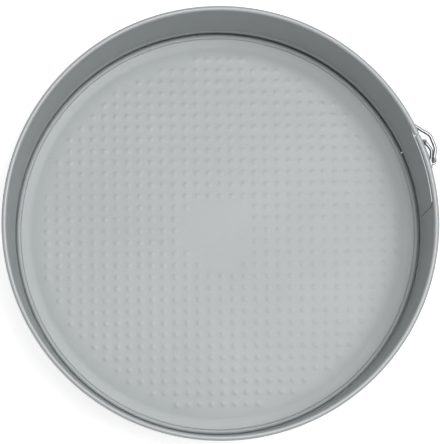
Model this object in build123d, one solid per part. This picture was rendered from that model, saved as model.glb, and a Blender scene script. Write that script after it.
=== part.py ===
from build123d import *
import os
from math import atan2, cos, degrees, hypot, sin

# Round cake tin: a loose base in a ring that a wire clasp closes.
# Millimetres. The origin is on the tin's axis, in the plane that it stands on.
# +Z points up, and the clasp is on the +X side.

# Ring: one strip of sheet, rolled outwards at the rim and turned in at the foot
inner_radius = 130.0
tin_height = 68.0
wall_sheet = 0.6
roll_diameter = 3.4
roll_mouth = 0.9
bead_level = 9.6
bead_corner = 1.2
bead_half_height = 2.4
bead_bend = 2.0
foot_reach = 7.5
foot_bend = 1.1

# Ring ends: the outer end laps over the inner one, under the clasp
outer_end_angle = 2.3
seam_angle = 0.2
joggle_angle = 2.2
inner_end_angle = -17.2
lap_gap = 0.1
lap_rim_gap = 0.3
lap_bead_gap = 0.6
clipped_height = 8.0
clipped_length = 2.2

# Base: a pressed dish that stands on the ring's foot
disc_sheet = 0.8
disc_clearance = 0.4
disc_seat_gap = 0.1
field_top = 5.2
border_rise = 0.75
border_width = 2.5
edge_bend = 0.9
step_run = 0.6
step_sink = 0.1
step_bend = 0.6
slope_width = 5.6
moat_depth = 0.42
moat_width = 6.8
moat_bend = 20.0

# Clasp: places are distances along the wall, and out from its outer face
clasp_level = 36.0
wire_diameter = 2.3
wire_bend = 1.8
pivot_along = 1.8
pivot_out = 6.8
knee_along = -4.6
knee_out = 8.9
knee_bend = 4.5
eye_along = -10.8
eye_out = 7.6
grip_along = -18.5
grip_out = 3.4
grip_bend = 2.6
catch_along = 16.0
shoulder_along = 3.6
shoulder_out = 10.9
elbow_along = -4.6
elbow_out = 10.9
shoulder_bend = 5.0
bearing_clearance = 0.06
bearing_gap = 0.35
eye_wall = 1.3
stub_end = 1.2
knuckle_half_height = 12.0
knuckle_stub = 8.0

# Clasp plates, spot welded to the ring
plate_sheet = 0.8
plate_gap = 0.05
lever_plate_length = 14.0
keeper_plate_length = 11.0
keeper_half_height = 8.0
hook_clearance = 0.35
hook_lip = 1.7
weld_radius = 1.6
weld_depth = 0.25
weld_edge = 3.6

# Every cut runs past what it cuts by this much
overrun = 1.0

outer_radius = inner_radius + wall_sheet
wall_middle = inner_radius + wall_sheet / 2
roll_radius = roll_diameter / 2
roll_level = tin_height - roll_radius
bead_slope = atan2(bead_corner, bead_half_height)
bead_reach = bead_corner - bead_bend * (1 / cos(bead_slope) - 1)
bead_top = bead_level + bead_half_height
bead_bottom = bead_level - bead_half_height
lap_step = wall_sheet + lap_gap
lap_top = roll_level - lap_rim_gap
lap_bottom = bead_top + lap_bead_gap
joggle_start = outer_end_angle + seam_angle
joggle_end = joggle_start + joggle_angle
disc_radius = inner_radius - bead_reach - disc_clearance
wire_radius = wire_diameter / 2
bore_radius = wire_radius + bearing_clearance
lever_level = knuckle_half_height + bearing_gap + wire_bend
link_level = lever_level + wire_radius + bearing_gap + wire_bend
plate_inside = outer_radius + plate_gap
plate_outside = plate_inside + plate_sheet
hook_bore = wire_radius + hook_clearance
catch_out = plate_gap + plate_sheet + hook_bore


def turn_at(points, i):
    """1 where a polyline turns left at corner i, and -1 where it turns right."""
    ax, ay = points[i][0] - points[i - 1][0], points[i][1] - points[i - 1][1]
    bx, by = points[i + 1][0] - points[i][0], points[i + 1][1] - points[i][1]
    return 1 if ax * by - ay * bx > 0 else -1


def moved_left(points, distance):
    """Corners of a polyline moved to its left by a distance, kept parallel."""
    headings = [atan2(b[1] - a[1], b[0] - a[0]) for a, b in zip(points, points[1:])]
    before = [headings[0]] + headings
    after = headings + [headings[-1]]
    corners = []
    for (x, y), first, second in zip(points, before, after):
        mean = atan2(sin(first) + sin(second), cos(first) + cos(second))
        reach = distance / cos(mean - first)
        corners.append((x - reach * sin(mean), y + reach * cos(mean)))
    return corners


def bent_sheet(points, bends, sheet):
    """Section of a sheet bent along its middle line, x as radius and y as height."""
    sides = []
    for side in (1, -1):
        distance = side * sheet / 2
        radii = [bend - turn_at(points, i) * distance for i, bend in enumerate(bends, start=1)]
        sides.append((moved_left(points, distance), radii))
    outline = []
    for corners, radii in sides:
        outline += FilletPolyline(*corners, radius=radii).edges()
    (left, _), (right, _) = sides
    outline += [Line(left[0], right[0]).edge(), Line(left[-1], right[-1]).edge()]
    return make_face(outline)


def swept_round(section, start, end):
    """Solid of a section swept about the tin's axis, from one angle to another."""
    face = Rot(0, 0, start) * (Plane.XZ * section)
    return revolve(face, Axis.Z, revolution_arc=end - start)


def wall_turn(along):
    """Angle about the tin's axis of a distance along the wall."""
    return degrees(along / outer_radius)


def at_wall(along, out, height=0):
    """Point at a distance along the wall, out from its outer face, at a height."""
    angle = along / outer_radius
    reach = outer_radius + out
    return (reach * cos(angle), reach * sin(angle), height)


def upright(along, out, bottom, top, radius):
    """Upright cylinder between two heights, beside the wall."""
    place = Pos(*at_wall(along, out, bottom))
    return place * extrude(Circle(radius), top - bottom)


def bent_wire(points, bends):
    """Round wire along straight runs that are joined by bends."""
    path = FilletPolyline(*points, radius=bends)
    return sweep((path ^ 0) * Circle(wire_radius), path=path)


# Ring
wall_line = [
    (wall_middle, roll_level),
    (wall_middle, bead_top),
    (wall_middle - bead_corner, bead_level),
    (wall_middle, bead_bottom),
    (wall_middle, wall_sheet / 2),
    (inner_radius - foot_reach, wall_sheet / 2),
]
wall_bends = [bead_bend, bead_bend, bead_bend, foot_bend]


def rim_and_foot_section():
    """Section of the ring, with its rolled rim and its foot."""
    roll = Pos(inner_radius + roll_radius, roll_level) * (
        Circle(roll_radius) - Circle(roll_radius - wall_sheet)
    )
    mouth = Pos(outer_radius + roll_mouth / 2, roll_level - roll_radius) * Rectangle(
        roll_mouth, roll_diameter
    )
    return bent_sheet(wall_line, wall_bends, wall_sheet) + (roll - mouth)


def lap_section(shift):
    """Section of the ring's inner end, which is cut off above the bead, moved inwards."""
    height = lap_top - lap_bottom
    return Pos(wall_middle - shift, lap_bottom + height / 2) * Rectangle(wall_sheet, height)


def make_inner_end():
    """The ring's inner end, which lies inside the outer one, with its corner clipped."""
    strip = swept_round(lap_section(lap_step), inner_end_angle, joggle_start)
    clip = make_face(
        Polyline(
            (-overrun, lap_top + overrun),
            (-overrun, lap_top - clipped_height),
            (0, lap_top - clipped_height),
            (clipped_length, lap_top),
            (clipped_length, lap_top + overrun),
            close=True,
        )
    )
    depth = wall_sheet + lap_gap + overrun
    plane = Plane(origin=(inner_radius, 0, 0), x_dir=(0, 1, 0), z_dir=(1, 0, 0))
    cut = extrude(plane * clip, -depth)
    return strip - Rot(0, 0, inner_end_angle) * cut


def make_ring():
    """The whole ring, from its outer end round to the inner end."""
    section = rim_and_foot_section()
    round_turn = swept_round(section, joggle_end, outer_end_angle + 360)
    wall_height = lap_top - lap_bottom
    wall_cut = Pos(wall_middle, lap_bottom + wall_height / 2) * Rectangle(
        wall_sheet + 2 * overrun, wall_height
    )
    edges_only = swept_round(section - wall_cut, joggle_start, joggle_end)
    flush = Rot(0, 0, joggle_end) * (Plane.XZ * lap_section(0))
    inset = Rot(0, 0, joggle_start) * (Plane.XZ * lap_section(lap_step))
    joggle = loft([flush, inset], ruled=True)
    return round_turn + edges_only + joggle + make_inner_end()


# Base
def make_base_disc():
    """The pressed base: a dished field, a moat, a step and a turned-down edge."""
    half = disc_sheet / 2
    border_top = field_top + border_rise
    edge = disc_radius - half
    border = disc_radius - border_width
    step = border - step_run
    moat = step - slope_width
    line = [
        (edge, wall_sheet + disc_seat_gap),
        (edge, border_top - half),
        (border, border_top - half),
        (step, field_top - step_sink - half),
        (moat, field_top - moat_depth - half),
        (moat - moat_width, field_top - half),
        (0, field_top - half),
    ]
    bends = [edge_bend, step_bend, step_bend, moat_bend, moat_bend]
    return revolve(Plane.XZ * bent_sheet(line, bends, disc_sheet), Axis.Z, 360)


# Clasp plates
def welded_plate(start, end, half_height):
    """Plate that follows the wall between two places, with two weld marks."""
    blank = Pos(plate_inside + plate_sheet / 2, clasp_level) * Rectangle(
        plate_sheet, 2 * half_height
    )
    plate = swept_round(blank, wall_turn(start), wall_turn(end))
    return plate


def weld_marks(along, half_height):
    """Round marks that the welding tip leaves on a plate."""
    marks = []
    for side in (1, -1):
        height = clasp_level + side * (half_height - weld_edge)
        face = Plane(origin=(plate_outside, 0, height), z_dir=(1, 0, 0))
        mark = extrude(face.offset(-weld_depth) * Circle(weld_radius), weld_depth + overrun)
        marks.append(Rot(0, 0, wall_turn(along)) * mark)
    return marks


def make_lever_bracket():
    """Plate, web and knuckle that carry the lever's two stubs."""
    ring_radius = bore_radius + plate_sheet
    web_side = pivot_along - ring_radius
    plate = welded_plate(web_side - lever_plate_length, web_side + plate_sheet, knuckle_half_height)
    low = clasp_level - knuckle_half_height
    web_length = pivot_out - plate_gap
    web = Pos(plate_inside + web_length / 2, -ring_radius + plate_sheet / 2, low) * extrude(
        Rectangle(web_length, plate_sheet), 2 * knuckle_half_height
    )
    web = Rot(0, 0, wall_turn(pivot_along)) * web
    knuckle = upright(pivot_along, pivot_out, low, low + 2 * knuckle_half_height, ring_radius)
    bore = upright(
        pivot_along,
        pivot_out,
        low - overrun,
        low + 2 * knuckle_half_height + overrun,
        bore_radius,
    )
    bracket = plate + web + knuckle - bore
    weld_place = web_side - lever_plate_length + weld_edge
    return bracket - weld_marks(weld_place, knuckle_half_height)


def make_keeper():
    """Plate whose edge is turned out and back as the hook for the link."""
    outside = hook_bore + plate_sheet
    plate = welded_plate(catch_along, catch_along + keeper_plate_length, keeper_half_height)
    middle = (outer_radius + catch_out, 0)
    bend = Pos(*middle) * (Circle(outside) - Circle(hook_bore))
    quarter = Pos(middle[0] - outside / 2, middle[1] - outside / 2) * Rectangle(outside, outside)
    lip = Pos(middle[0] + hook_lip / 2, middle[1] - outside + plate_sheet / 2) * Rectangle(
        hook_lip, plate_sheet
    )
    profile = (bend & quarter) + lip
    hook = Pos(0, 0, clasp_level - keeper_half_height) * extrude(profile, 2 * keeper_half_height)
    keeper = plate + Rot(0, 0, wall_turn(catch_along)) * hook
    weld_place = catch_along + keeper_plate_length - weld_edge
    return keeper - weld_marks(weld_place, keeper_half_height)


# Clasp wires
def wire_frame(places, level, bends, stub_along, stub_out, stub_reach):
    """Wire bent as a frame: a stub, an upper arm, a bar, a lower arm and a stub."""
    top, low = clasp_level + level, clasp_level - level
    upper = [at_wall(along, out, top) for along, out in places]
    lower = [at_wall(along, out, low) for along, out in reversed(places)]
    stub_top = at_wall(stub_along, stub_out, top - stub_reach)
    stub_low = at_wall(stub_along, stub_out, low + stub_reach)
    return bent_wire([stub_top] + upper + lower + [stub_low], bends + bends[::-1])


def make_lever():
    """The lever: it turns in the knuckle, and holds the link in its two eyes."""
    places = [(pivot_along, pivot_out), (knee_along, knee_out), (grip_along, grip_out)]
    reach = bearing_gap + wire_bend + knuckle_stub
    wire = wire_frame(
        places, lever_level, [wire_bend, knee_bend, grip_bend], pivot_along, pivot_out, reach
    )
    lever = wire
    for side in (1, -1):
        level = clasp_level + side * lever_level
        bottom, top = level - wire_radius, level + wire_radius
        lever += upright(eye_along, eye_out, bottom, top, bore_radius + eye_wall)
    for side in (1, -1):
        level = clasp_level + side * lever_level
        bottom, top = level - wire_radius - overrun, level + wire_radius + overrun
        lever -= upright(eye_along, eye_out, bottom, top, bore_radius)
    return lever


def make_link():
    """The link: it turns in the lever's eyes, and its bar lies in the keeper's hook."""
    places = [
        (eye_along, eye_out),
        (elbow_along, elbow_out),
        (shoulder_along, shoulder_out),
        (catch_along, catch_out),
    ]
    reach = link_level - lever_level + wire_radius + stub_end
    bends = [wire_bend, shoulder_bend, shoulder_bend, wire_bend]
    return wire_frame(places, link_level, bends, eye_along, eye_out, reach)


nodes = {
    "ring": make_ring,
    "base_disc": make_base_disc,
    "lever_bracket": make_lever_bracket,
    "keeper": make_keeper,
    "clasp_lever": make_lever,
    "clasp_link": make_link,
}

os.makedirs("parts", exist_ok=True)
for name, make in nodes.items():
    export_step(make(), f"parts/{name}.step")

eye = at_wall(eye_along, eye_out)
catch = at_wall(catch_along, catch_out)
pivot = at_wall(pivot_along, pivot_out)
print("lever pivot", [round(value, 4) for value in pivot])
print("link pivot", [round(value, 4) for value in eye])
print("link length", round(hypot(catch[0] - eye[0], catch[1] - eye[1]), 3))
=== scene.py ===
from math import atan2, cos, degrees, pi, radians, sin, tan

import bmesh
import bpy
from mathutils import Matrix, Vector


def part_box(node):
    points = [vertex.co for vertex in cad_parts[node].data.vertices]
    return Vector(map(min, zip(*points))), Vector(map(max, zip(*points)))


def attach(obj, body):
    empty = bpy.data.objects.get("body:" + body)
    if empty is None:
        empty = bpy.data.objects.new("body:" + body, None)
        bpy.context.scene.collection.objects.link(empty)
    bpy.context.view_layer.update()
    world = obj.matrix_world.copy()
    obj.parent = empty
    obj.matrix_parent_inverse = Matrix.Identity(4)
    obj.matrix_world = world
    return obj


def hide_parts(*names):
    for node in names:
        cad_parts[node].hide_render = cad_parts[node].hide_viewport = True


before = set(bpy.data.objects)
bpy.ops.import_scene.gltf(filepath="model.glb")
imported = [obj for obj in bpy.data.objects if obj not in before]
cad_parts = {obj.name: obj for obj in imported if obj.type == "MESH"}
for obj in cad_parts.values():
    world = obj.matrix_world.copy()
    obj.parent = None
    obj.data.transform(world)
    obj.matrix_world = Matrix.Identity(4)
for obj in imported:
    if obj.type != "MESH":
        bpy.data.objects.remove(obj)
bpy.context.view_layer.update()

# Round cake tin, seen from above: springform ring, wire clasp and loose pressed base.
# Everything is in metres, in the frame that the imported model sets.

mm = 0.001
upAxis = Vector((0, 0, 1))

mergeDistance = 0.01 * mm  # points closer than this count as one
edgeRounding = {
    "segments": 2,
    "angle": 50,  # degrees between two faces, past which their edge is rounded
}


def turned(angle):
    return Matrix.Rotation(radians(angle), 4, "Z")


def eased(share):
    share = min(1, max(0, share))
    return share * share * (3 - 2 * share)


def roundVert(bm, vert, bend, segments):
    # fillet of one corner of a wire chain, by its bend radius
    ends = [edge.other_vert(vert).co - vert.co for edge in vert.link_edges]
    turn = pi - ends[0].angle(ends[1])
    bmesh.ops.bevel(
        bm, geom=[vert], affect="VERTICES", offset=bend * tan(turn / 2), offset_type="OFFSET",
        segments=segments, profile=0.5, material=-1,
    )


def drawChain(bm, corners, bends, segments):
    # open chain of straight runs, its inner corners rounded; gives back its last point
    verts = [bm.verts.new(corner) for corner in corners]
    for a, b in zip(verts, verts[1:]):
        bm.edges.new((a, b))
    for vert, bend in zip(verts[1:-1], bends):
        if bend:
            roundVert(bm, vert, bend, segments)
    return verts[-1]


def faceUp(bm):
    # turns the faces of an open sheet to one side, the upper
    bmesh.ops.recalc_face_normals(bm, faces=bm.faces[:])
    if sum(face.normal.z * face.calc_area() for face in bm.faces) < 0:
        bmesh.ops.reverse_faces(bm, faces=bm.faces[:])


def finishMesh(name, bm):
    mesh = bpy.data.meshes.new(name)
    bm.to_mesh(mesh)
    bm.free()
    return mesh


def addObject(name, data):
    item = bpy.data.objects.new(name, data)
    bpy.context.scene.collection.objects.link(item)
    return item


def placePiece(name, bm, material, body, replaced):
    mesh = finishMesh(name, bm)
    mesh.shade_smooth()
    mesh.materials.append(material)
    piece = addObject(name, mesh)
    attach(piece, body)
    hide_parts(replaced)
    return piece


def thicken(piece, sheet, offset, cutEdge):
    solid = piece.modifiers.new("sheet", "SOLIDIFY")
    solid.thickness = sheet
    solid.offset = offset
    solid.use_even_offset = True
    solid.use_rim = True
    edges = piece.modifiers.new("cutEdges", "BEVEL")
    edges.width = cutEdge
    edges.segments = edgeRounding["segments"]
    edges.limit_method = "ANGLE"
    edges.angle_limit = radians(edgeRounding["angle"])
    edges.harden_normals = True


# Finishes

grain = {
    "cloudScale": 14,  # scales are to the metre
    "cloudDetail": 3,
    "cloudRoughness": 0.5,
    "scale": 1500,
    "detail": 2,
    "roughness": 0.6,
    "tone": 1.6,  # how much of a coat's Speck the fine grain gets
    "micaScale": 1300,
    "micaFrom": 0.86,  # the brightest cells from here up are mica
    "cloudGloss": 0.12,  # how much clouds and grain change the roughness
    "gloss": 0.18,
    "cloudHeight": 2.0,
    "specular": 0.45,
    "bumpStrength": 0.35,
    "bumpDepth": 0.02 * mm,
}

coats = {
    "coatedSteel": {
        "Tone": (0.47, 0.495, 0.50),
        "Cloud": 0.05,
        "Speck": 0.05,
        "Gloss": 0.43,  # roughness
        "Metallic": 0.2,
    },
    "coatedBase": {
        "Tone": (0.47, 0.495, 0.50),
        "Cloud": 0.04,
        "Speck": 0.05,
        "Gloss": 0.48,
        "Metallic": 0.1,
    },
    "coatedPlate": {
        "Tone": (0.43, 0.455, 0.46),
        "Cloud": 0.06,
        "Speck": 0.06,
        "Gloss": 0.40,
        "Metallic": 0.15,
    },
}

drawnSteel = {
    "dark": (0.24, 0.25, 0.26),
    "pale": (0.36, 0.37, 0.38),
    "smooth": 0.26,
    "rough": 0.42,
    "lineScale": 6.0,
    "lineDetail": 4.0,
    "bumpStrength": 0.25,
    "bumpDepth": 0.02 * mm,
}


def newMaterial(name):
    material = bpy.data.materials.new(name)
    material.use_nodes = True
    nodes, links = material.node_tree.nodes, material.node_tree.links
    return material, nodes, links, nodes["Principled BSDF"]


def addBump(nodes, links, height, shader, finish):
    bump = nodes.new("ShaderNodeBump")
    bump.inputs["Strength"].default_value = finish["bumpStrength"]
    bump.inputs["Distance"].default_value = finish["bumpDepth"]
    links.new(height, bump.inputs["Height"])
    links.new(bump.outputs["Normal"], shader.inputs["Normal"])


def makeCoatGroup():
    # sprayed coating: soft clouds, fine grain and sparse mica specks
    group = bpy.data.node_groups.new("coatGrain", "ShaderNodeTree")
    for inOut, name, kind in (
        ("INPUT", "Tone", "NodeSocketColor"),
        ("INPUT", "Cloud", "NodeSocketFloat"),
        ("INPUT", "Speck", "NodeSocketFloat"),
        ("INPUT", "Gloss", "NodeSocketFloat"),
        ("OUTPUT", "Colour", "NodeSocketColor"),
        ("OUTPUT", "Roughness", "NodeSocketFloat"),
        ("OUTPUT", "Height", "NodeSocketFloat"),
    ):
        group.interface.new_socket(name=name, in_out=inOut, socket_type=kind)
    nodes, links = group.nodes, group.links
    given = nodes.new("NodeGroupInput")
    out = nodes.new("NodeGroupOutput")
    place = nodes.new("ShaderNodeTexCoord")

    def noise(scale, detail, roughness):
        # cloudy value, as much above zero as below it
        node = nodes.new("ShaderNodeTexNoise")
        node.inputs["Scale"].default_value = scale
        node.inputs["Detail"].default_value = detail
        node.inputs["Roughness"].default_value = roughness
        links.new(place.outputs["Object"], node.inputs["Vector"])
        return compute("SUBTRACT", node.outputs["Fac"], 0.5)

    def compute(kind, a, b):
        node = nodes.new("ShaderNodeMath")
        node.operation = kind
        for socket, value in zip(node.inputs, (a, b)):
            if isinstance(value, (int, float)):
                socket.default_value = value
            else:
                links.new(value, socket)
        return node.outputs[0]

    cloud = noise(grain["cloudScale"], grain["cloudDetail"], grain["cloudRoughness"])
    fine = noise(grain["scale"], grain["detail"], grain["roughness"])
    cells = nodes.new("ShaderNodeTexVoronoi")
    cells.inputs["Scale"].default_value = grain["micaScale"]
    links.new(place.outputs["Object"], cells.inputs["Vector"])
    tint = nodes.new("ShaderNodeSeparateColor")
    links.new(cells.outputs["Color"], tint.inputs["Color"])
    mica = nodes.new("ShaderNodeMapRange")
    mica.inputs["From Min"].default_value = grain["micaFrom"]
    links.new(tint.outputs["Red"], mica.inputs["Value"])

    cloudTone = compute("MULTIPLY", cloud, given.outputs["Cloud"])
    fineTone = compute("MULTIPLY", fine, compute("MULTIPLY", given.outputs["Speck"], grain["tone"]))
    micaTone = compute("MULTIPLY", mica.outputs["Result"], given.outputs["Speck"])
    level = compute("ADD", compute("ADD", cloudTone, fineTone), compute("ADD", micaTone, 1.0))
    scaled = nodes.new("ShaderNodeVectorMath")
    scaled.operation = "SCALE"
    links.new(given.outputs["Tone"], scaled.inputs[0])
    links.new(level, scaled.inputs["Scale"])
    links.new(scaled.outputs["Vector"], out.inputs["Colour"])

    rough = compute("ADD", given.outputs["Gloss"], compute("MULTIPLY", cloud, grain["cloudGloss"]))
    rough = compute("ADD", rough, compute("MULTIPLY", fine, grain["gloss"]))
    links.new(rough, out.inputs["Roughness"])
    swell = compute("MULTIPLY", cloud, grain["cloudHeight"])
    links.new(compute("ADD", fine, swell), out.inputs["Height"])
    return group


def makeCoat(name, group):
    finish = coats[name]
    material, nodes, links, shader = newMaterial(name)
    coat = nodes.new("ShaderNodeGroup")
    coat.node_tree = group
    coat.inputs["Tone"].default_value = (*finish["Tone"], 1)
    for socket in ("Cloud", "Speck", "Gloss"):
        coat.inputs[socket].default_value = finish[socket]
    links.new(coat.outputs["Colour"], shader.inputs["Base Color"])
    links.new(coat.outputs["Roughness"], shader.inputs["Roughness"])
    addBump(nodes, links, coat.outputs["Height"], shader, grain)
    shader.inputs["Metallic"].default_value = finish["Metallic"]
    shader.inputs["Specular IOR Level"].default_value = grain["specular"]
    return material


def makeWire(name):
    # drawn bright wire: fine lines along it, read from the piece's own attribute
    material, nodes, links, shader = newMaterial(name)
    shader.inputs["Metallic"].default_value = 1.0
    drawn = nodes.new("ShaderNodeAttribute")
    drawn.attribute_name = "drawn"
    lines = nodes.new("ShaderNodeTexNoise")
    lines.inputs["Scale"].default_value = drawnSteel["lineScale"]
    lines.inputs["Detail"].default_value = drawnSteel["lineDetail"]
    links.new(drawn.outputs["Vector"], lines.inputs["Vector"])
    tone = nodes.new("ShaderNodeMapRange")
    tone.data_type = "FLOAT_VECTOR"
    tone.inputs["To Min"].default_value = drawnSteel["dark"]
    tone.inputs["To Max"].default_value = drawnSteel["pale"]
    spread = nodes.new("ShaderNodeCombineXYZ")
    for socket in spread.inputs:
        links.new(lines.outputs["Fac"], socket)
    links.new(spread.outputs["Vector"], tone.inputs["Vector"])
    links.new(tone.outputs["Vector"], shader.inputs["Base Color"])
    rough = nodes.new("ShaderNodeMapRange")
    rough.inputs["To Min"].default_value = drawnSteel["smooth"]
    rough.inputs["To Max"].default_value = drawnSteel["rough"]
    links.new(lines.outputs["Fac"], rough.inputs["Value"])
    links.new(rough.outputs["Result"], shader.inputs["Roughness"])
    addBump(nodes, links, lines.outputs["Fac"], shader, drawnSteel)
    return material


coatGrain = makeCoatGroup()
ringCoat = makeCoat("coatedSteel", coatGrain)
baseCoat = makeCoat("coatedBase", coatGrain)
plateCoat = makeCoat("coatedPlate", coatGrain)
brightWire = makeWire("brightWire")
print("finishes made")


# Ring

tin = {
    "innerRadius": 130.0 * mm,
    "sheet": 0.6 * mm,
    "rollDiameter": 3.4 * mm,
    "rollTurn": 266.0,  # degrees that the rim is curled through
    "beadLevel": 9.6 * mm,
    "beadCorner": 1.2 * mm,
    "beadHalfHeight": 2.4 * mm,
    "beadBend": 2.0 * mm,
    "footReach": 7.5 * mm,
    "footBend": 1.1 * mm,
    "outerEnd": 2.3,  # degrees round the tin from +X
    "joggleStart": 2.5,
    "joggleEnd": 4.7,
    "innerEnd": -17.2,
    "lapStep": 0.7 * mm,
    "lapTop": 66.0 * mm,
    "lapBottom": 12.6 * mm,
    "clipHeight": 8.0 * mm,
    "clipLength": 2.2 * mm,
    "bendSteps": 6,
    "rollSteps": 22,
    "stepAngle": 1.0,  # degrees that one facet spans
    "cutEdge": 0.14 * mm,  # rounding of the sheet's cut edges
}


def makeRing():
    middle = tin["innerRadius"] + tin["sheet"] / 2
    rimReach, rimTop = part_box("ring")[1].x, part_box("ring")[1].z
    rollRadius = tin["rollDiameter"] / 2
    rollLevel = rimTop - rollRadius
    footLevel = tin["sheet"] / 2
    beadTop = tin["beadLevel"] + tin["beadHalfHeight"]
    beadLow = tin["beadLevel"] - tin["beadHalfHeight"]
    bm = bmesh.new()
    corners = [
        (tin["innerRadius"] - tin["footReach"], 0, footLevel),
        (middle, 0, footLevel),
        (middle, 0, beadLow),
        (middle - tin["beadCorner"], 0, tin["beadLevel"]),
        (middle, 0, beadTop),
        (middle, 0, tin["lapBottom"]),
        (middle, 0, tin["lapTop"]),
        (middle, 0, rollLevel),
    ]
    bends = [tin["footBend"], tin["beadBend"], tin["beadBend"], tin["beadBend"], 0, 0]
    rollStart = drawChain(bm, corners, bends, tin["bendSteps"])
    rollMiddle = Vector((rimReach - rollRadius, 0, rollLevel))
    bmesh.ops.spin(
        bm, geom=[rollStart], cent=rollMiddle, axis=(0, 1, 0),
        angle=radians(tin["rollTurn"]), steps=tin["rollSteps"],
    )
    section = bm.edges[:]

    def chainPart(low, high):
        # a copy of the section's edges between two heights
        part = [
            edge for edge in section
            if all(low - mergeDistance < v.co.z < high + mergeDistance for v in edge.verts)
        ]
        return bmesh.ops.duplicate(bm, geom=part + list({v for e in part for v in e.verts}))["geom"]

    # the strip's heights that are swept, and the angles that they are swept through;
    # the roll's low end lies below lapTop, so it goes with the lap
    sections = {
        "whole": chainPart(0, rimTop),
        "rim": chainPart(tin["lapTop"], rimTop),
        "foot": chainPart(0, tin["lapBottom"]),
        "lap": chainPart(tin["lapBottom"], tin["lapTop"]),
    }
    spans = {
        "whole": (tin["joggleEnd"], tin["outerEnd"] + 360),
        "rim": (tin["joggleStart"], tin["joggleEnd"]),
        "foot": (tin["joggleStart"], tin["joggleEnd"]),
        "lap": (tin["innerEnd"], tin["joggleEnd"]),
    }
    lapVerts = set()
    for name, (start, end) in spans.items():
        known = set(bm.verts)
        geom = sections[name]
        verts = [item for item in geom if isinstance(item, bmesh.types.BMVert)]
        bmesh.ops.rotate(bm, verts=verts, cent=(0, 0, 0), matrix=turned(start))
        steps = max(2, round((end - start) / tin["stepAngle"]))
        bmesh.ops.spin(
            bm, geom=geom, cent=(0, 0, 0), axis=upAxis, angle=radians(end - start), steps=steps
        )
        if name == "lap":
            lapVerts = set(verts) | (set(bm.verts) - known)
    # the lap lies a sheet and a small gap further in, up to the joggle
    joggle = tin["joggleEnd"] - tin["joggleStart"]
    for vert in lapVerts:
        turn = degrees(atan2(vert.co.y, vert.co.x))
        inward = tin["lapStep"] * eased((tin["joggleEnd"] - turn) / joggle)
        reach = vert.co.xy.length
        vert.co.xy = vert.co.xy * (reach - inward) / reach
    # clipped upper corner of the inner end
    lapFaces = [f for f in bm.faces if all(v in lapVerts for v in f.verts)]
    lapEdges = {e for f in lapFaces for e in f.edges}
    along = turned(tin["innerEnd"]) @ Vector((0, 1, 0))
    out = turned(tin["innerEnd"]) @ Vector((1, 0, 0))
    clipLow = out * tin["innerRadius"] + upAxis * (tin["lapTop"] - tin["clipHeight"])
    clipLine = along * tin["clipLength"] + upAxis * tin["clipHeight"]
    bmesh.ops.bisect_plane(
        bm, geom=lapFaces + list(lapEdges) + list(lapVerts), dist=mergeDistance, plane_co=clipLow,
        plane_no=clipLine.cross(out), clear_inner=True, clear_outer=False,
    )
    bmesh.ops.delete(bm, geom=[v for v in bm.verts if not v.link_faces], context="VERTS")
    bmesh.ops.remove_doubles(bm, verts=bm.verts[:], dist=mergeDistance)
    bmesh.ops.recalc_face_normals(bm, faces=bm.faces[:])
    piece = placePiece("tinRing", bm, ringCoat, "shell", "ring")
    thicken(piece, tin["sheet"], 0, tin["cutEdge"])


makeRing()
print("ring made")


# Base

base = {
    "sheet": 0.8 * mm,
    "fieldTop": 5.2 * mm,
    "borderRise": 0.75 * mm,
    "borderWidth": 2.5 * mm,
    "edgeBend": 0.9 * mm,
    "stepRun": 0.6 * mm,
    "stepSink": 0.1 * mm,
    "stepBend": 0.6 * mm,
    "slopeWidth": 5.6 * mm,
    "moatDepth": 0.42 * mm,
    "moatWidth": 6.8 * mm,
    "moatBend": 20.0 * mm,
    "fieldRadius": 118.0 * mm,  # edge of the field that holds the pattern
    "plainRadius": 23.1 * mm,  # bare round in the middle
    "pitch": 7.39 * mm,
    "patternTurn": -20.7,  # degrees
    "patternShift": (1.7 * mm, 1.2 * mm),  # before it is turned
    "dotRadius": 2.15 * mm,
    "dotHeight": 0.22 * mm,
    "dotSides": 12,
    "dotShares": ((1.08, 0), (0.8, 0.22), (0.45, 0.78)),  # of the dot's radius and height
    "patternEdge": 0.3 * mm,  # least flat sheet between the pattern and the field's edge
    "middleShare": 0.55,  # of the bare round, that is one flat face
    "bendSteps": 5,
    "roundSteps": 360,
    "middleSteps": 60,
    "cutEdge": 0.16 * mm,
}


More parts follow.
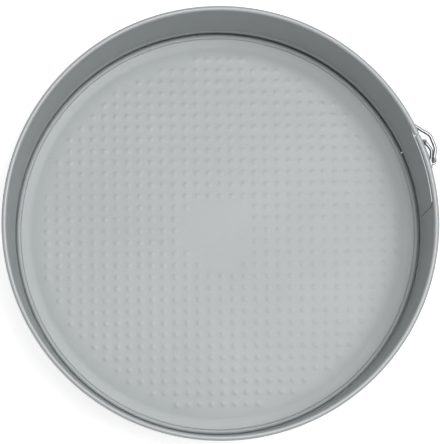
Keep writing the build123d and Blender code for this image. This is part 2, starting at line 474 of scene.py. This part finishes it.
def makeBase():
    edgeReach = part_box("base_disc")[1].x
    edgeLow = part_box("base_disc")[0].z
    top = base["fieldTop"]
    borderTop = top + base["borderRise"]
    border = edgeReach - base["borderWidth"]
    step = border - base["stepRun"]
    moat = step - base["slopeWidth"]
    fieldEnd = moat - base["moatWidth"]
    radius = base["fieldRadius"]

    def fieldLevel(reach):
        # the field sinks towards the moat
        share = min(1, max(0, (reach - fieldEnd) / (moat - fieldEnd)))
        return top - base["moatDepth"] * share * share * (2 - share)

    bm = bmesh.new()
    # border, step and moat, turned round the axis
    corners = [
        (radius, 0, fieldLevel(radius)),
        (moat, 0, top - base["moatDepth"]),
        (step, 0, top - base["stepSink"]),
        (border, 0, borderTop),
        (edgeReach, 0, borderTop),
        (edgeReach, 0, edgeLow),
    ]
    bends = [base["moatBend"], base["stepBend"], base["stepBend"], base["edgeBend"] + base["sheet"] / 2]
    drawChain(bm, corners, bends, base["bendSteps"])
    bmesh.ops.spin(
        bm, geom=bm.verts[:] + bm.edges[:], cent=(0, 0, 0), axis=upAxis, angle=2 * pi,
        steps=base["roundSteps"], use_merge=True,
    )
    bmesh.ops.remove_doubles(bm, verts=bm.verts[:], dist=mergeDistance / 2)

    # one cell of the pattern: a low round dot in a square
    sides = base["dotSides"]
    half = base["pitch"] / 2
    cell = bmesh.new()
    square = [cell.verts.new((x * half, y * half, 0)) for x, y in ((-1, -1), (1, -1), (1, 1), (-1, 1))]
    cell.faces.new(square)
    bmesh.ops.subdivide_edges(cell, edges=cell.edges[:], cuts=sides // 4 - 1)
    outline = cell.edges[:]
    bmesh.ops.delete(cell, geom=cell.faces[:], context="FACES_ONLY")
    firstCorner = turned(-135)  # each ring of the dot starts towards the square's first corner
    rings = []
    for share, rise in base["dotShares"]:
        made = bmesh.ops.create_circle(
            cell, segments=sides, radius=base["dotRadius"] * share,
            matrix=Matrix.Translation((0, 0, base["dotHeight"] * rise)) @ firstCorner,
        )["verts"]
        rings.append(list({e for v in made for e in v.link_edges}))
    loops = [outline] + rings
    for a, b in zip(loops, loops[1:]):
        bmesh.ops.bridge_loops(cell, edges=a + b)
    crown = bmesh.ops.edgenet_fill(cell, edges=rings[-1])["faces"]
    poke = bmesh.ops.poke(cell, faces=crown)
    for vert in poke["verts"]:
        vert.co.z = base["dotHeight"]
    faceUp(cell)
    dot = finishMesh("dot", cell)

    # the pattern's square grid, without the bare round and what passes the edge
    field = bmesh.new()
    shift = Vector((*base["patternShift"], 0))
    count = int(radius / base["pitch"]) + 1
    for i in range(-count, count + 1):
        for j in range(-count, count + 1):
            place = Vector((i * base["pitch"], j * base["pitch"], 0)) + shift
            corner = max(
                (place + Vector((x * half, y * half, 0))).length for x in (-1, 1) for y in (-1, 1)
            )
            if corner > radius - base["patternEdge"] or place.length < base["plainRadius"]:
                continue
            known = len(field.verts)
            field.from_mesh(dot)
            field.verts.ensure_lookup_table()
            bmesh.ops.translate(field, verts=field.verts[known:], vec=place)
    bpy.data.meshes.remove(dot)
    bmesh.ops.remove_doubles(field, verts=field.verts[:], dist=mergeDistance)
    bmesh.ops.rotate(field, verts=field.verts[:], cent=(0, 0, 0), matrix=turned(base["patternTurn"]))

    # plain sheet from the pattern out to the field's edge and in to the middle
    gridRim = [edge for edge in field.edges if edge.is_boundary]
    rim = bmesh.ops.create_circle(field, segments=base["roundSteps"], radius=radius)["verts"]
    middle = bmesh.ops.create_circle(
        field, segments=base["middleSteps"], radius=base["plainRadius"] * base["middleShare"]
    )["verts"]
    rimEdges = list({edge for vert in rim for edge in vert.link_edges})
    middleEdges = list({edge for vert in middle for edge in vert.link_edges})
    bmesh.ops.triangle_fill(
        field, use_beauty=True, use_dissolve=False, normal=upAxis,
        edges=gridRim + rimEdges + middleEdges,
    )
    bmesh.ops.edgenet_fill(field, edges=middleEdges)
    for vert in field.verts:
        vert.co.z += fieldLevel(vert.co.xy.length)
    grid = finishMesh("grid", field)
    bm.from_mesh(grid)
    bpy.data.meshes.remove(grid)
    bmesh.ops.remove_doubles(bm, verts=bm.verts[:], dist=2 * mergeDistance)
    faceUp(bm)
    piece = placePiece("tinBase", bm, baseCoat, "base", "base_disc")
    thicken(piece, base["sheet"], -1, base["cutEdge"])


makeBase()
print("base made")


# Clasp

clasp = {
    "pivot": (1.8 * mm, 6.8 * mm),  # places are along the wall, and out from it
    "eye": (-10.8 * mm, 7.6 * mm),
    "catch": (16.0 * mm, 2.35 * mm),
    "bore": 2.42 * mm,
    "wire": 2.3 * mm,
    "wireBend": 1.8 * mm,
    "wireSides": 24,
    "bendStep": 9.0,  # degrees
    "endRound": 0.4 * mm,
    "endTurns": (30, 60, 90),  # degrees of the rounding at a wire's end
}
outside = tin["innerRadius"] + tin["sheet"]


def atWall(place, height=0):
    along, out = place
    angle = along / outside
    return Vector(((outside + out) * cos(angle), (outside + out) * sin(angle), height))


def pullLoop(bm, edges, move):
    # extrudes an open loop of edges, and moves the new one by a matrix
    made = bmesh.ops.extrude_edge_only(bm, edges=edges)["geom"]
    verts = [item for item in made if isinstance(item, bmesh.types.BMVert)]
    bmesh.ops.transform(bm, matrix=move, verts=verts)
    return verts, [item for item in made if isinstance(item, bmesh.types.BMEdge)]


def roundEnd(bm, edges, centre, ahead):
    # rounds a wire's end over its last stretch, and closes it
    radius, depth = clasp["wire"] / 2, clasp["endRound"]
    reach, size = 0, 1
    for turn in clasp["endTurns"]:
        newReach = depth * sin(radians(turn))
        newSize = 1 - depth * (1 - cos(radians(turn))) / radius
        verts, edges = pullLoop(bm, edges, Matrix.Translation(ahead * (newReach - reach)))
        shrink = newSize / size
        space = Matrix.Translation(-(centre + ahead * newReach))
        bmesh.ops.scale(bm, verts=verts, vec=(shrink, shrink, shrink), space=space)
        reach, size = newReach, newSize
    bmesh.ops.edgenet_fill(bm, edges=edges)


def bendWire(bm, corners, bends):
    # round wire along straight runs and bends; "drawn" keeps the turn and the length along it
    drawn = bm.verts.layers.float_vector.new("drawn")
    sides, radius = clasp["wireSides"], clasp["wire"] / 2
    ahead = (corners[1] - corners[0]).normalized()
    face = Matrix.Translation(corners[0]) @ ahead.to_track_quat("Z", "Y").to_matrix().to_4x4()
    verts = bmesh.ops.create_circle(bm, segments=sides, radius=radius, matrix=face)["verts"]
    for i, vert in enumerate(verts):
        angle = 2 * pi * i / sides
        vert[drawn] = (cos(angle), sin(angle), 0)
    edges = list({edge for vert in verts for edge in vert.link_edges})
    length = 0
    here = corners[0] + ahead * clasp["endRound"]
    bmesh.ops.translate(bm, verts=verts, vec=here - corners[0])
    roundEnd(bm, edges, here, -ahead)

    def advance(move, travel):
        nonlocal edges, length
        made, edges = pullLoop(bm, edges, move)
        length += travel
        for vert in made:
            vert[drawn].z = length

    for i, corner in enumerate(corners[1:], start=1):
        ahead = (corner - corners[i - 1]).normalized()
        if i == len(corners) - 1:
            stop = corner - ahead * clasp["endRound"]
            advance(Matrix.Translation(stop - here), (stop - here).length)
            roundEnd(bm, edges, stop, ahead)
            break
        after = (corners[i + 1] - corner).normalized()
        turn = ahead.angle(after)
        bend = bends[i - 1]
        stop = corner - ahead * bend * tan(turn / 2)
        advance(Matrix.Translation(stop - here), (stop - here).length)
        axis = ahead.cross(after).normalized()
        centre = stop + axis.cross(ahead) * bend
        steps = max(2, round(degrees(turn) / clasp["bendStep"]))
        around = Matrix.Translation(centre) @ Matrix.Rotation(turn / steps, 4, axis)
        around = around @ Matrix.Translation(-centre)
        for _ in range(steps):
            advance(around, bend * turn / steps)
        here = corner + after * bend * tan(turn / 2)


def armLevels(node):
    # heights of a wire frame's upper and lower arm, from its node's box
    low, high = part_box(node)
    return high.z - clasp["wire"] / 2, low.z + clasp["wire"] / 2


def frameCorners(places, levels, stub):
    # stub, upper arm, bar, lower arm and stub of a wire frame
    upper = [atWall(place, levels[0]) for place in places]
    lower = [atWall(place, levels[1]) for place in reversed(places)]
    inward = upAxis * stub
    return [upper[0] - inward] + upper + lower + [lower[-1] + inward]


def finishWire(name, bm, body, replaced):
    bmesh.ops.remove_doubles(bm, verts=bm.verts[:], dist=mergeDistance / 5)
    bmesh.ops.recalc_face_normals(bm, faces=bm.faces[:])
    placePiece(name, bm, brightWire, body, replaced)


lever = {
    "knee": (-4.6 * mm, 8.9 * mm),
    "kneeBend": 4.5 * mm,
    "grip": (-18.5 * mm, 3.4 * mm),
    "gripBend": 2.6 * mm,
    "stub": 10.15 * mm,  # length of the wire's end in the knuckle, from the arm's middle
    "eyeWidth": 1.3 * mm,
    "eyeRound": 0.55 * mm,
    "eyeRoundSteps": 4,
    "eyeSteps": 48,
    "eyeLines": 900,  # how close the drawn lines lie on an eye, to the metre
}


def makeEye(bm, centre):
    # the eye that a wire's end turns in
    known = set(bm.verts)
    high, wide = clasp["wire"] / 2, lever["eyeWidth"]
    start = centre.x + clasp["bore"] / 2
    verts = [
        bm.verts.new((start + x * wide, centre.y, centre.z + z * high))
        for x, z in ((0, -1), (1, -1), (1, 1), (0, 1))
    ]
    for a, b in zip(verts, verts[1:] + verts[:1]):
        bm.edges.new((a, b))
    for vert in verts:
        roundVert(bm, vert, lever["eyeRound"], lever["eyeRoundSteps"])
    ring = [vert for vert in bm.verts if vert not in known]
    edges = list({edge for vert in ring for edge in vert.link_edges})
    drawn = bm.verts.layers.float_vector["drawn"]
    for vert in ring:
        vert[drawn] = (vert.co.x * lever["eyeLines"], vert.co.z * lever["eyeLines"], 0)
    bmesh.ops.spin(
        bm, geom=ring + edges, cent=centre, axis=upAxis, angle=2 * pi, steps=lever["eyeSteps"],
        use_merge=True,
    )


def makeLever():
    levels = armLevels("clasp_lever")
    places = [clasp["pivot"], lever["knee"], lever["grip"]]
    bends = [clasp["wireBend"], lever["kneeBend"], lever["gripBend"]]
    bm = bmesh.new()
    bendWire(bm, frameCorners(places, levels, lever["stub"]), bends + bends[::-1])
    for level in levels:
        makeEye(bm, atWall(clasp["eye"], level))
    finishWire("claspLever", bm, "lever", "clasp_lever")


link = {
    "elbow": (-4.6 * mm, 10.9 * mm),
    "shoulder": (3.6 * mm, 10.9 * mm),
    "bend": 5.0 * mm,
    "stub": 5.65 * mm,  # length of the wire's end in the lever's eye, from the arm's middle
}


def makeLink():
    places = [clasp["eye"], link["elbow"], link["shoulder"], clasp["catch"]]
    bends = [clasp["wireBend"], link["bend"], link["bend"], clasp["wireBend"]]
    bm = bmesh.new()
    bendWire(bm, frameCorners(places, armLevels("clasp_link"), link["stub"]), bends + bends[::-1])
    finishWire("claspLink", bm, "link", "clasp_link")


plates = {
    "sheet": 0.8 * mm,
    "gap": 0.05 * mm,  # from the ring's outside
    "weldEdge": 3.6 * mm,  # from a plate's end and sides to the middle of a weld
    "weldRadius": 1.7 * mm,
    "weldSoft": 0.9 * mm,
    "weldDepth": 0.22 * mm,
    "corner": 2.2 * mm,
    "cornerTurns": (15, 30, 45, 60, 75),  # degrees at which a corner is cut
    "meshStep": 0.4 * mm,
    "cutEdge": 0.16 * mm,
}
plateMiddle = outside + plates["gap"] + plates["sheet"] / 2


def curl(bm, vert, centre, angle, steps):
    # turns a point round a centre on its own level, and gives back the new chain's end
    made = bmesh.ops.spin(bm, geom=[vert], cent=centre, axis=upAxis, angle=angle, steps=steps)
    return [item for item in made["geom_last"] if isinstance(item, bmesh.types.BMVert)][0]


def clipCorners(bm, edge, low, high, radius, sideways):
    # rounds both corners at an upright edge of a strip, by cuts square to its face
    for height, rise in ((high, upAxis), (low, -upAxis)):
        centre = Vector((*edge, height)) - (sideways + rise) * radius
        for turn in plates["cornerTurns"]:
            facing = sideways * cos(radians(turn)) + rise * sin(radians(turn))
            bmesh.ops.bisect_plane(
                bm, geom=bm.verts[:] + bm.edges[:] + bm.faces[:], dist=mergeDistance / 10,
                plane_co=centre + facing * radius, plane_no=facing, clear_outer=True,
            )


def raiseStrip(bm, low, high):
    # the plan of a bent strip, drawn at its lower edge, is pulled up to its height
    steps = round((high - low) / plates["meshStep"])
    edges = bm.edges[:]
    for _ in range(steps):
        _, edges = pullLoop(bm, edges, Matrix.Translation(upAxis * (high - low) / steps))


def pressWelds(bm, along, low, high):
    # two round marks of the welding tip
    for height in (low + plates["weldEdge"], high - plates["weldEdge"]):
        for vert in bm.verts:
            gap = Vector((vert.co.y - along, vert.co.z - height)).length
            vert.co.x -= plates["weldDepth"] * eased((plates["weldRadius"] - gap) / plates["weldSoft"])


def finishPlate(name, bm, place, replaced):
    bmesh.ops.rotate(bm, verts=bm.verts[:], cent=(0, 0, 0), matrix=turned(degrees(place[0] / outside)))
    bmesh.ops.recalc_face_normals(bm, faces=bm.faces[:])
    piece = placePiece(name, bm, plateCoat, "shell", replaced)
    thicken(piece, plates["sheet"], 0, plates["cutEdge"])


bracket = {
    "end": -14.21 * mm,  # along the wall
    "bend": 0.9 * mm,
    "bendSteps": 8,
    "knuckleTurn": 306.0,  # degrees
    "knuckleSteps": 40,
}


def makeBracket():
    # drawn with the pivot on +X, then turned to its place
    low, high = (corner.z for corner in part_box("lever_bracket"))
    pivotAlong, pivotOut = clasp["pivot"]
    end = bracket["end"] - pivotAlong
    startTurn = end / outside
    knuckleMiddle = clasp["bore"] / 2 + plates["sheet"] / 2
    bendTurn = -(knuckleMiddle + bracket["bend"]) / plateMiddle
    bm = bmesh.new()
    start = bm.verts.new((plateMiddle * cos(startTurn), plateMiddle * sin(startTurn), low))
    steps = round(plateMiddle * (bendTurn - startTurn) / plates["meshStep"])
    tip = curl(bm, start, (0, 0, 0), bendTurn - startTurn, steps)
    tip = curl(bm, tip, tip.co + Vector((bracket["bend"], 0, 0)), -pi / 2, bracket["bendSteps"])
    knuckle = bmesh.ops.extrude_vert_indiv(bm, verts=[tip])["verts"][0]
    knuckle.co = (outside + pivotOut, -knuckleMiddle, low)
    knuckleTurn = radians(bracket["knuckleTurn"])
    curl(bm, knuckle, (outside + pivotOut, 0, low), knuckleTurn, bracket["knuckleSteps"])
    raiseStrip(bm, low, high)
    pressWelds(bm, end + plates["weldEdge"], low, high)
    clipCorners(bm, (plateMiddle, end), low, high, plates["corner"], Vector((0, -1, 0)))
    finishPlate("leverBracket", bm, clasp["pivot"], "lever_bracket")


keeper = {
    "end": 27.0 * mm,  # along the wall
    "hookSteps": 12,
    "lip": 1.7 * mm,
    "lipCorner": 0.8 * mm,
}


def makeKeeper():
    # drawn with the hook on +X, then turned to its place
    low, high = (corner.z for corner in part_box("keeper"))
    catchAlong, catchOut = clasp["catch"]
    length = keeper["end"] - catchAlong
    turn = length / outside
    hook = Vector((outside + catchOut, 0, low))
    bm = bmesh.new()
    start = bm.verts.new((plateMiddle * cos(turn), plateMiddle * sin(turn), low))
    tip = curl(bm, start, (0, 0, 0), -turn, round(length / plates["meshStep"]))
    tip = curl(bm, tip, hook, pi / 2, keeper["hookSteps"])
    lip = bmesh.ops.extrude_vert_indiv(bm, verts=[tip])["verts"][0]
    lip.co = tip.co + Vector((keeper["lip"], 0, 0))
    raiseStrip(bm, low, high)
    pressWelds(bm, length - plates["weldEdge"], low, high)
    clipCorners(bm, (plateMiddle, length), low, high, plates["corner"], Vector((0, 1, 0)))
    lipEdge = (hook.x + keeper["lip"], hook.y)
    clipCorners(bm, lipEdge, low, high, keeper["lipCorner"], Vector((1, 0, 0)))
    finishPlate("hookKeeper", bm, clasp["catch"], "keeper")


makeBracket()
makeKeeper()
makeLever()
makeLink()
print("clasp made")


# Stage, light and camera

view = {
    "aim": (1.3 * mm, 2.6 * mm, 35 * mm),  # what the lens points at
    "distance": 1.2406,
    "elevation": 82.88,  # degrees above the floor
    "azimuth": -125.5,  # where the camera stands, from +X
    "imageUp": 68.5,  # direction on the floor that points up in the picture
    "lens": 161.04,
    "sensor": 36.0,
    "nearest": 0.01,
    "farthest": 50.0,
}

light = {
    "lamps": {  # degrees from straight up, degrees round from +X, and watts
        "topLamp": (5, 54.5, 8.5),
        "keyLamp": (16, -10, 14.0),
        "fillLamp": (34, -111.5, 2.5),
    },
    "distance": 2.0,
    "size": 1.0,
    "worldLevel": 0.12,
    "backdrop": 1.0,  # what the camera and bright metal see past the floor
    "floorHalf": 6.0,  # half the floor's width
    "floorTone": 0.8,
    "floorRough": 0.9,
    "floorSheen": 0.1,
    "floorGlow": 0.68,  # only for the camera and gloss
}


def seenRay(nodes, links, hidden, seen):
    # one value for light that falls on things, and another for what the camera, gloss and glass see
    path = nodes.new("ShaderNodeLightPath")
    either = path.outputs["Is Camera Ray"]
    for name in ("Is Glossy Ray", "Is Transmission Ray"):
        node = nodes.new("ShaderNodeMath")
        node.operation = "MAXIMUM"
        links.new(either, node.inputs[0])
        links.new(path.outputs[name], node.inputs[1])
        either = node.outputs[0]
    choice = nodes.new("ShaderNodeMapRange")
    choice.inputs["To Min"].default_value = hidden
    choice.inputs["To Max"].default_value = seen
    links.new(either, choice.inputs["Value"])
    return choice.outputs["Result"]


def makeFloor():
    bm = bmesh.new()
    bmesh.ops.create_grid(bm, x_segments=1, y_segments=1, size=light["floorHalf"])
    floor = addObject("floor", finishMesh("floor", bm))
    material, nodes, links, shader = newMaterial("paleFloor")
    shader.inputs["Base Color"].default_value = (*[light["floorTone"]] * 3, 1)
    shader.inputs["Roughness"].default_value = light["floorRough"]
    shader.inputs["Specular IOR Level"].default_value = light["floorSheen"]
    shader.inputs["Emission Color"].default_value = (1, 1, 1, 1)
    links.new(seenRay(nodes, links, 0, light["floorGlow"]), shader.inputs["Emission Strength"])
    floor.data.materials.append(material)


def makeLamps():
    for name, (tilt, turn, power) in light["lamps"].items():
        lamp = bpy.data.lights.new(name, "AREA")
        lamp.shape = "DISK"
        lamp.size = light["size"]
        lamp.energy = power
        high, around = radians(90 - tilt), radians(turn)
        away = Vector((cos(high) * cos(around), cos(high) * sin(around), sin(high)))
        facing = away.to_track_quat("Z", "Y").to_matrix().to_4x4()
        holder = addObject(name, lamp)
        holder.matrix_world = Matrix.Translation(away * light["distance"]) @ facing


def makeWorld():
    world = bpy.data.worlds.new("studio")
    bpy.context.scene.world = world
    world.use_nodes = True
    nodes, links = world.node_tree.nodes, world.node_tree.links
    nodes["Background"].inputs["Color"].default_value = (1, 1, 1, 1)
    level = seenRay(nodes, links, light["worldLevel"], light["backdrop"])
    links.new(level, nodes["Background"].inputs["Strength"])


def makeCamera():
    lens = bpy.data.cameras.new("camera")
    lens.lens = view["lens"]
    lens.sensor_width = view["sensor"]
    lens.clip_start = view["nearest"]
    lens.clip_end = view["farthest"]
    tilt, turn = radians(view["elevation"]), radians(view["azimuth"])
    away = Vector((cos(tilt) * cos(turn), cos(tilt) * sin(turn), sin(tilt)))
    pictureUp = Vector((cos(radians(view["imageUp"])), sin(radians(view["imageUp"])), 0))
    right = pictureUp.cross(away).normalized()
    axes = Matrix((right, away.cross(right), away)).transposed().to_4x4()
    camera = addObject("camera", lens)
    camera.matrix_world = Matrix.Translation(Vector(view["aim"]) + away * view["distance"]) @ axes
    bpy.context.scene.camera = camera


makeFloor()
makeLamps()
makeWorld()
makeCamera()
bpy.context.scene.view_settings.view_transform = "Standard"
